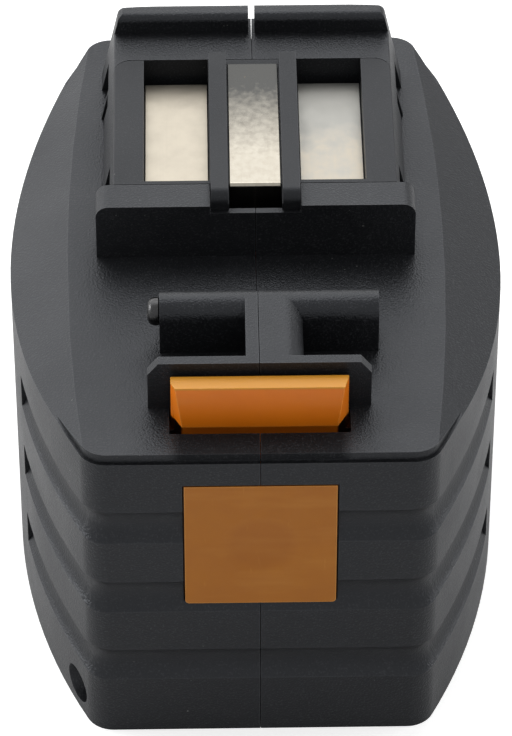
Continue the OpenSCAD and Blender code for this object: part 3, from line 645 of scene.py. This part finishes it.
# ---------------------------------------------------------------------------------------------
# Heat guards. The thermal cutout is a small steatite-coloured box on the negative lead. The
# thermistor is dipped in dark resin and glued between four cells, with one insulated lead.
# ---------------------------------------------------------------------------------------------
cutout_cream = (0.62, 0.58, 0.49, 1)
cutout_shade = (0.48, 0.44, 0.36, 1)
resin_dark = (0.035, 0.03, 0.032, 1)
resin_pale = (0.07, 0.06, 0.06, 1)
wire_red = (0.34, 0.035, 0.025, 1)
wire_dusty = (0.42, 0.11, 0.08, 1)
guard_blotch, wire_blotch = 0.002, 0.0015
cutout_depth, resin_depth, wire_depth = 0.00002, 0.00003, 0.00001
fine_per_blotch = 9


def moulded(name, colour, other, roughness, blotch, depth, coat=0.0):
    """A moulded or dipped piece with soft blotches in its colour."""
    material, shader, place = new_finish(name, Specular_IOR_Level=0.45, Coat_Weight=coat)
    patch = speckle(material, place, blotch, 4.0)
    fine = speckle(material, place, blotch / fine_per_blotch, 2.0)
    base = tint(material, span(material, patch, 0.35, 0.7), colour, other)
    join(material, base, shader.inputs["Base Color"])
    join(material, around(material, fine, roughness, 0.06, 0.06), shader.inputs["Roughness"])
    relief(material, shader, fine, depth)
    return material


repaint(
    moulded("cutout_cream", cutout_cream, cutout_shade, 0.5, guard_blotch, cutout_depth),
    "thermal_cutout"
)
repaint(
    moulded("resin_dark", resin_dark, resin_pale, 0.3, guard_blotch, resin_depth, coat=0.4),
    "thermistor"
)
repaint(
    moulded("wire_red", wire_red, wire_dusty, 0.42, wire_blotch, wire_depth),
    "sense_lead"
)

# ---------------------------------------------------------------------------------------------
# Contact carrier. A moulded block in a smoother black than the case. Its top plate lies flush in
# the head, with a window on each side and two divider bars between which the middle contact lies.
# ---------------------------------------------------------------------------------------------
carrier_black = (0.0058, 0.0061, 0.0068, 1)
carrier_rub = (0.013, 0.0135, 0.0145, 1)
carrier_roughness, carrier_specular = 0.42, 0.235
carrier_grain, carrier_grain_depth = 0.00024, 0.00003
carrier_edge = 0.00018

carrier_finish = grained_plastic(
    "carrier_moulded", carrier_black, carrier_rub, carrier_roughness, carrier_grain,
    carrier_grain_depth, carrier_specular
)
carrier = softened("contact_carrier", carrier_edge)
finish_piece(carrier, carrier_finish, "case", "carrier", "contact_carrier")

# ---------------------------------------------------------------------------------------------
# Contacts. Nickel-plated strips. The tool's blades slide along them, so they carry fine lines
# along Y. They turn darker towards +Y; on the middle contact that dark end is painted reflection.
# ---------------------------------------------------------------------------------------------
plate_bright = (0.305, 0.277, 0.228, 1)
plate_cloud = (0.275, 0.250, 0.208, 1)
plate_grey = (0.235, 0.232, 0.216, 1)
plate_brown = (0.30, 0.22, 0.12, 1)
sense_bright = (0.335, 0.312, 0.265, 1)
# painted reflection: the dark end of the middle contact
sense_dark_reflection = (0.052, 0.052, 0.050, 1)
slide_line, slide_depth = 0.0007, 0.000004
spot_size, spot_depth = 0.0004, 0.0000016
back_wander = 0.011
side_blotch, sense_blotch = 0.0032, 0.0013
contact_edge = 0.00014
contacts = {
    # finish, colour, clouds, darker end, from and to which y it darkens, roughness, cloud size
    "positive_contact": (
        "contact_beige", plate_bright, plate_cloud, plate_cloud, 0.026, 0.034, 0.34, side_blotch
    ),
    "negative_contact": (
        "contact_grey", plate_cloud, plate_grey, plate_grey, 0.014, 0.022, 0.34, side_blotch
    ),
    "sense_contact": (
        "sense_plated", sense_bright, plate_cloud, sense_dark_reflection, 0.008, 0.026, 0.2, sense_blotch
    ),
}


def plated_strip(name, bright, cloud, back, dark_from, dark_to, roughness, blotch):
    """Plating: slide lines along Y, clouds, brown spots and a part darker towards +Y."""
    material, shader, place = new_finish(name, Metallic=1.0)
    lines = speckle(material, place, slide_line, 5.0, stretch=(1, 0.035, 1))
    patch = speckle(material, place, blotch, 4.0)
    fine = speckle(material, place, spot_size)
    y = axes(material, place)["Y"]
    wander = times(material, work_out(material, "SUBTRACT", patch, 0.5), back_wander)
    dull = span(material, work_out(material, "ADD", y, wander), dark_from, dark_to)
    base = tint(material, span(material, patch, 0.4, 0.72, 0, 0.8), bright, cloud)
    base = tint(material, span(material, lines, 0.52, 0.72, 0, 0.35), base, cloud)
    # darker towards +Y; on the middle contact this is painted reflection
    base = tint(material, dull, base, back)
    spot = span(material, fine, 0.66, 0.78)
    spot = times(material, spot, span(material, patch, 0.55, 0.68, 0, 0.45))
    join(material, tint(material, spot, base, plate_brown), shader.inputs["Base Color"])
    rough = around(material, patch, roughness, 0.04, 0.04)
    rough = work_out(material, "ADD", rough, times(material, dull, 0.1))
    join(material, rough, shader.inputs["Roughness"])
    marks = relief(material, shader, lines, slide_depth)
    relief(material, shader, fine, spot_depth, below=marks)
    return material


for name, look in contacts.items():
    strip = softened(name, contact_edge)
    finish_piece(strip, plated_strip(*look), "case", "contact", name)

# ---------------------------------------------------------------------------------------------
# Latch springs. Round music wire, wound with one dead turn at each end. They stand on their
# shelves at their free length; in the pack the latch presses them together as it goes down.
# ---------------------------------------------------------------------------------------------
spring_wire = (0.30, 0.30, 0.31, 1)
spring_bright = (0.60, 0.60, 0.60, 1)
spring_roughness = 0.3
spring_wire_r = 0.00025
spring_turns, spring_sides = 5, 14

spring_finish = worn_steel("spring_wire", spring_wire, spring_bright, spring_roughness)
for side in ("left", "right"):
    low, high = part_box("latch_spring_" + side)
    middle = (low + high) / 2
    coil_r = (high.x - low.x) / 2 - spring_wire_r
    dead = 2 * spring_wire_r
    top = high.z - low.z - dead
    pitch = (top - 2 * dead) / spring_turns
    spring = coil("spring_" + side, spring_wire_r, coil_r, spring_sides, [
        (0, dead, 1), (dead, pitch, spring_turns), (top - dead, dead, 1)
    ])
    set_down(spring, 0, "X", (middle.x, middle.y, low.z + spring_wire_r))
    finish_piece(spring, spring_finish, "case", "spring", "latch_spring_" + side)
    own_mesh(spring)

# ---------------------------------------------------------------------------------------------
# Latch and release button. Moulded in orange acetal, smoother than the case and slightly waxy.
# Painted highlight pales the nose top; painted shade darkens the button, its dish and nooks.
# ---------------------------------------------------------------------------------------------
latch_orange = (0.88, 0.215, 0.006, 1)
latch_deep = (0.72, 0.155, 0.005, 1)
# painted highlight: the paler orange of the nose top
latch_top_highlight = (0.70, 0.296, 0.02, 1)
# painted shade: the button's orange is a darker copy of the latch's, for its less lit place
button_orange_shaded = (0.415, 0.140, 0.006, 1)
# the button's cloud tone, and the painted shade over its dish
button_deep_and_dish_shade = (0.33, 0.098, 0.004, 1)
orange_rub = (0.84, 0.42, 0.10, 1)
# painted shade for recesses
orange_recess_shade = (0.09, 0.02, 0.004, 1)
# painted shade: near-black in the lower corners of the latch slot
slot_painted_shade = (0.008, 0.005, 0.004, 1)
wax_cloud, wax_fine, wax_flow, wax_scuff = 0.009, 0.00035, 0.004, 0.0011
flow_depth, wax_fine_depth = 0.00002, 0.00001
recess_shade_reach = 0.004
latch_edge = 0.0003
nose_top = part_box("latch")[1].z
nose_foot = nose_top - 0.0081
nose_highlight_z = (nose_top - 0.0005, nose_top - 0.0001)
slot_shade_x = (0.0127, 0.0131)
slot_shade_z = (nose_foot - 0.0001, nose_foot + 0.0002)
row_reach = 0.0001
# side, which row of top corners from the front, and its move
nose_moves = (
    (-1, 0, (-0.0007, 0, 0)),
    (-1, 1, (0, -0.00095, 0)),
    (1, 0, (0.0007, 0, 0)),
)
button_low, button_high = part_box("release_button")
dish_middle = (0, 0, (button_low.z + button_high.z) / 2)
dish_inner_r, dish_outer_r, dish_shade = 0.00465, 0.00651, 0.38
dish_flat_limit = radians(0.02)


def waxy_plastic(name, colour, deep, roughness, specular, marks):
    """Smooth acetal: soft clouds, faint flow lines, fine scuffs, rubbed edges, own marks and
    painted shade in recesses.
    """
    material, shader, place = new_finish(name, Specular_IOR_Level=specular)
    cloud = speckle(material, place, wax_cloud)
    fine = speckle(material, place, wax_fine, 2.0)
    flow = speckle(material, place, wax_flow, stretch=(0.2, 1, 1))
    scuff = speckle(material, place, wax_scuff, 5.0, stretch=(1, 1, 0.15))
    edge = outer_edge(material, wear_reach)
    nook = node_in(material, "AmbientOcclusion", samples=6, Distance=recess_shade_reach)
    base = tint(material, span(material, cloud, 0.35, 0.75, 0, 0.35), colour, deep)
    base = tint(material, span(material, flow, 0.5, 0.75, 0, 0.12), base, orange_rub)
    base = tint(material, span(material, scuff, 0.66, 0.85, 0, 0.3), base, orange_rub)
    base = tint(material, times(material, edge, 0.45), base, orange_rub)
    base = marks(material, place, base)
    # painted shade: dark brown where ambient occlusion finds a recess
    recess_shade = span(material, nook.outputs["AO"], 0.12, 0.42, 1, 0)
    join(material, tint(material, recess_shade, base, orange_recess_shade), shader.inputs["Base Color"])
    join(material, around(material, fine, roughness, 0.05, 0.06), shader.inputs["Roughness"])
    soft = relief(material, shader, flow, flow_depth)
    relief(material, shader, fine, wax_fine_depth, below=soft)
    return material


def nose_marks(material, place, base):
    """A painted highlight on the top, and painted shade where the corner cuts run into the slot.
    """
    x, _, z = axes(material, place)
    base = tint(material, span(material, z, *nose_highlight_z), base, latch_top_highlight)
    corner = span(material, outward(material, x), *slot_shade_x)
    low = span(material, z, *slot_shade_z, 1, 0)
    return tint(material, times(material, corner, low), base, slot_painted_shade)


def shaded_dish(material, place, base):
    """Painted shade: a darker round over the shallow dish."""
    face = node_in(material, "Mapping")
    face.inputs["Scale"].default_value = (1, 0, 1)
    join(material, place.outputs["Object"], face.inputs["Vector"])
    away = node_in(material, "VectorMath", operation="DISTANCE")
    join(material, face.outputs[0], away.inputs[0])
    away.inputs[1].default_value = dish_middle
    share = span(material, away.outputs["Value"], dish_inner_r, dish_outer_r, dish_shade, 0)
    return tint(material, share, base, button_deep_and_dish_shade)


def shape_nose(piece):
    """Moves upper ends of the corner cuts: both front ones out, the left rear one forward."""
    for side, number, move in nose_moves:
        bpy.ops.mesh.select_mode(type="VERT")
        bpy.ops.mesh.select_all(action="DESELECT")
        shape = bmesh.from_edit_mesh(piece.data)
        top = [v for v in shape.verts if v.co.z > nose_top - row_reach]
        row = sorted({round(v.co.y, 5) for v in top})[number]
        for vert in top:
            if vert.co.x * side > 0 and abs(vert.co.y - row) < row_reach:
                vert.select_set(True)
        bpy.ops.transform.translate(value=move)


latch = softened("latch", latch_edge, reshape=shape_nose)
latch_finish = waxy_plastic("latch_acetal", latch_orange, latch_deep, 0.36, 0.4, nose_marks)
finish_piece(latch, latch_finish, "latch", "orange", "latch")
button = softened("release_button", latch_edge, dish_flat_limit)
button_finish = waxy_plastic(
    "release_button_acetal", button_orange_shaded, button_deep_and_dish_shade, 0.4, 0.3, shaded_dish
)
finish_piece(button, button_finish, "button", "orange", "release_button")

# ---------------------------------------------------------------------------------------------
# Studio. A white paper floor, a wide softbox behind, a small one overhead, one low on each side
# and one at the back left. Glossy faces don't mirror the one in front.
# ---------------------------------------------------------------------------------------------
floor_white = (0.84, 0.84, 0.84, 1)
floor_tooth = (0.86, 0.86, 0.86, 1)
paper_tooth_size = 0.0008
floor_glow, floor_mirrored = 0.60, 0.12
floor_size = 8.0
covered_x = (0.020, 0.021)
covered_y = (0.0547, 0.0550)
plain_white = (1, 1, 1, 1)
surround = 0.02
lamp_aim = Vector((0, 0, 0.05))
lamps = (
    # place, width, height, power, mirrored by glossy faces
    ((-0.360, 1.252, 1.150), 2.5, 1.8, 21.5, True),
    ((0.000, 0.750, 1.500), 1.6, 0.9, 7.0, True),
    ((0.100, -1.150, 1.200), 2.6, 1.5, 12.6, False),
    ((-0.860, 1.100, 0.540), 0.9, 0.7, 1.8, True),
    ((-1.400, 0.300, 0.500), 0.8, 0.5, 13.0, True),
    ((1.400, 0.300, 0.500), 0.8, 0.5, 9.0, True),
)
sight_target = Vector((0.0, -0.010, 0.032))
sight_pitch, sight_yaw = radians(42.57), radians(0.95)
sight_distance = 0.81009
sight_shift = (-0.00004, 0.0084)
sight_lens = 225.35
sight_reach = 20


def seen_directly(tree, straight, mirrored):
    """A strength for camera rays, and one for rays off or through the object."""
    path = tree.nodes.new("ShaderNodeLightPath")
    camera_share = tree.nodes.new("ShaderNodeMath")
    camera_share.operation = "MULTIPLY"
    camera_share.inputs[1].default_value = straight
    tree.links.new(path.outputs["Is Camera Ray"], camera_share.inputs[0])
    either = tree.nodes.new("ShaderNodeMath")
    either.operation = "MAXIMUM"
    tree.links.new(path.outputs["Is Glossy Ray"], either.inputs[0])
    tree.links.new(path.outputs["Is Transmission Ray"], either.inputs[1])
    strength = tree.nodes.new("ShaderNodeMath")
    strength.operation = "MULTIPLY_ADD"
    tree.links.new(either.outputs[0], strength.inputs[0])
    strength.inputs[1].default_value = mirrored
    tree.links.new(camera_share.outputs[0], strength.inputs[2])
    return strength.outputs[0]


bpy.ops.object.select_all(action="DESELECT")
bpy.ops.mesh.primitive_plane_add(size=floor_size)
floor = bpy.context.object
floor.name = "floor"
paper, paper_shader, paper_place = new_finish("paper", Roughness=0.9, Specular_IOR_Level=0.1)
tooth = speckle(paper, paper_place, paper_tooth_size, 2.0)
join(paper, tint(paper, tooth, floor_white, floor_tooth), paper_shader.inputs["Base Color"])
paper_shader.inputs["Emission Color"].default_value = plain_white
# the floor under the pack doesn't glow through the seam between the case halves
x, y, _ = axes(paper, paper_place)
beside = span(paper, outward(paper, x), *covered_x)
before = span(paper, outward(paper, y), *covered_y)
glow = seen_directly(paper.node_tree, floor_glow, floor_mirrored)
glow = times(paper, glow, work_out(paper, "MAXIMUM", beside, before))
join(paper, glow, paper_shader.inputs["Emission Strength"])
floor.data.materials.append(paper)

world = bpy.data.worlds.new("surround")
bpy.context.scene.world = world
world.use_nodes = True
sky = world.node_tree.nodes["Background"]
sky.inputs["Color"].default_value = plain_white
level = world.node_tree.nodes.new("ShaderNodeMath")
level.operation = "MAXIMUM"
level.inputs[1].default_value = surround
world.node_tree.links.new(seen_directly(world.node_tree, 1.0, 1.0), level.inputs[0])
world.node_tree.links.new(level.outputs[0], sky.inputs["Strength"])

for number, (place, width, height, power, mirrored) in enumerate(lamps, 1):
    light = bpy.data.lights.new(f"softbox_{number}", "AREA")
    light.shape = "RECTANGLE"
    light.size, light.size_y, light.energy = width, height, power
    lamp = bpy.data.objects.new(light.name, light)
    bpy.context.scene.collection.objects.link(lamp)
    lamp.visible_glossy = mirrored
    lamp.location = place
    lamp.rotation_euler = (lamp_aim - Vector(place)).to_track_quat("-Z", "Y").to_euler()

ahead = Vector((
    sin(sight_yaw) * cos(sight_pitch), cos(sight_yaw) * cos(sight_pitch), -sin(sight_pitch)
))
right = Vector((cos(sight_yaw), -sin(sight_yaw), 0))
aim = sight_target + right * sight_shift[0] + right.cross(ahead) * sight_shift[1]
sight = bpy.data.cameras.new("sight")
sight.lens = sight_lens
sight.clip_end = sight_reach
camera = bpy.data.objects.new("camera", sight)
bpy.context.scene.collection.objects.link(camera)
camera.location = aim - ahead * sight_distance
camera.rotation_euler = ahead.to_track_quat("-Z", "Y").to_euler()
bpy.context.scene.camera = camera
bpy.context.scene.view_settings.view_transform = "Standard"
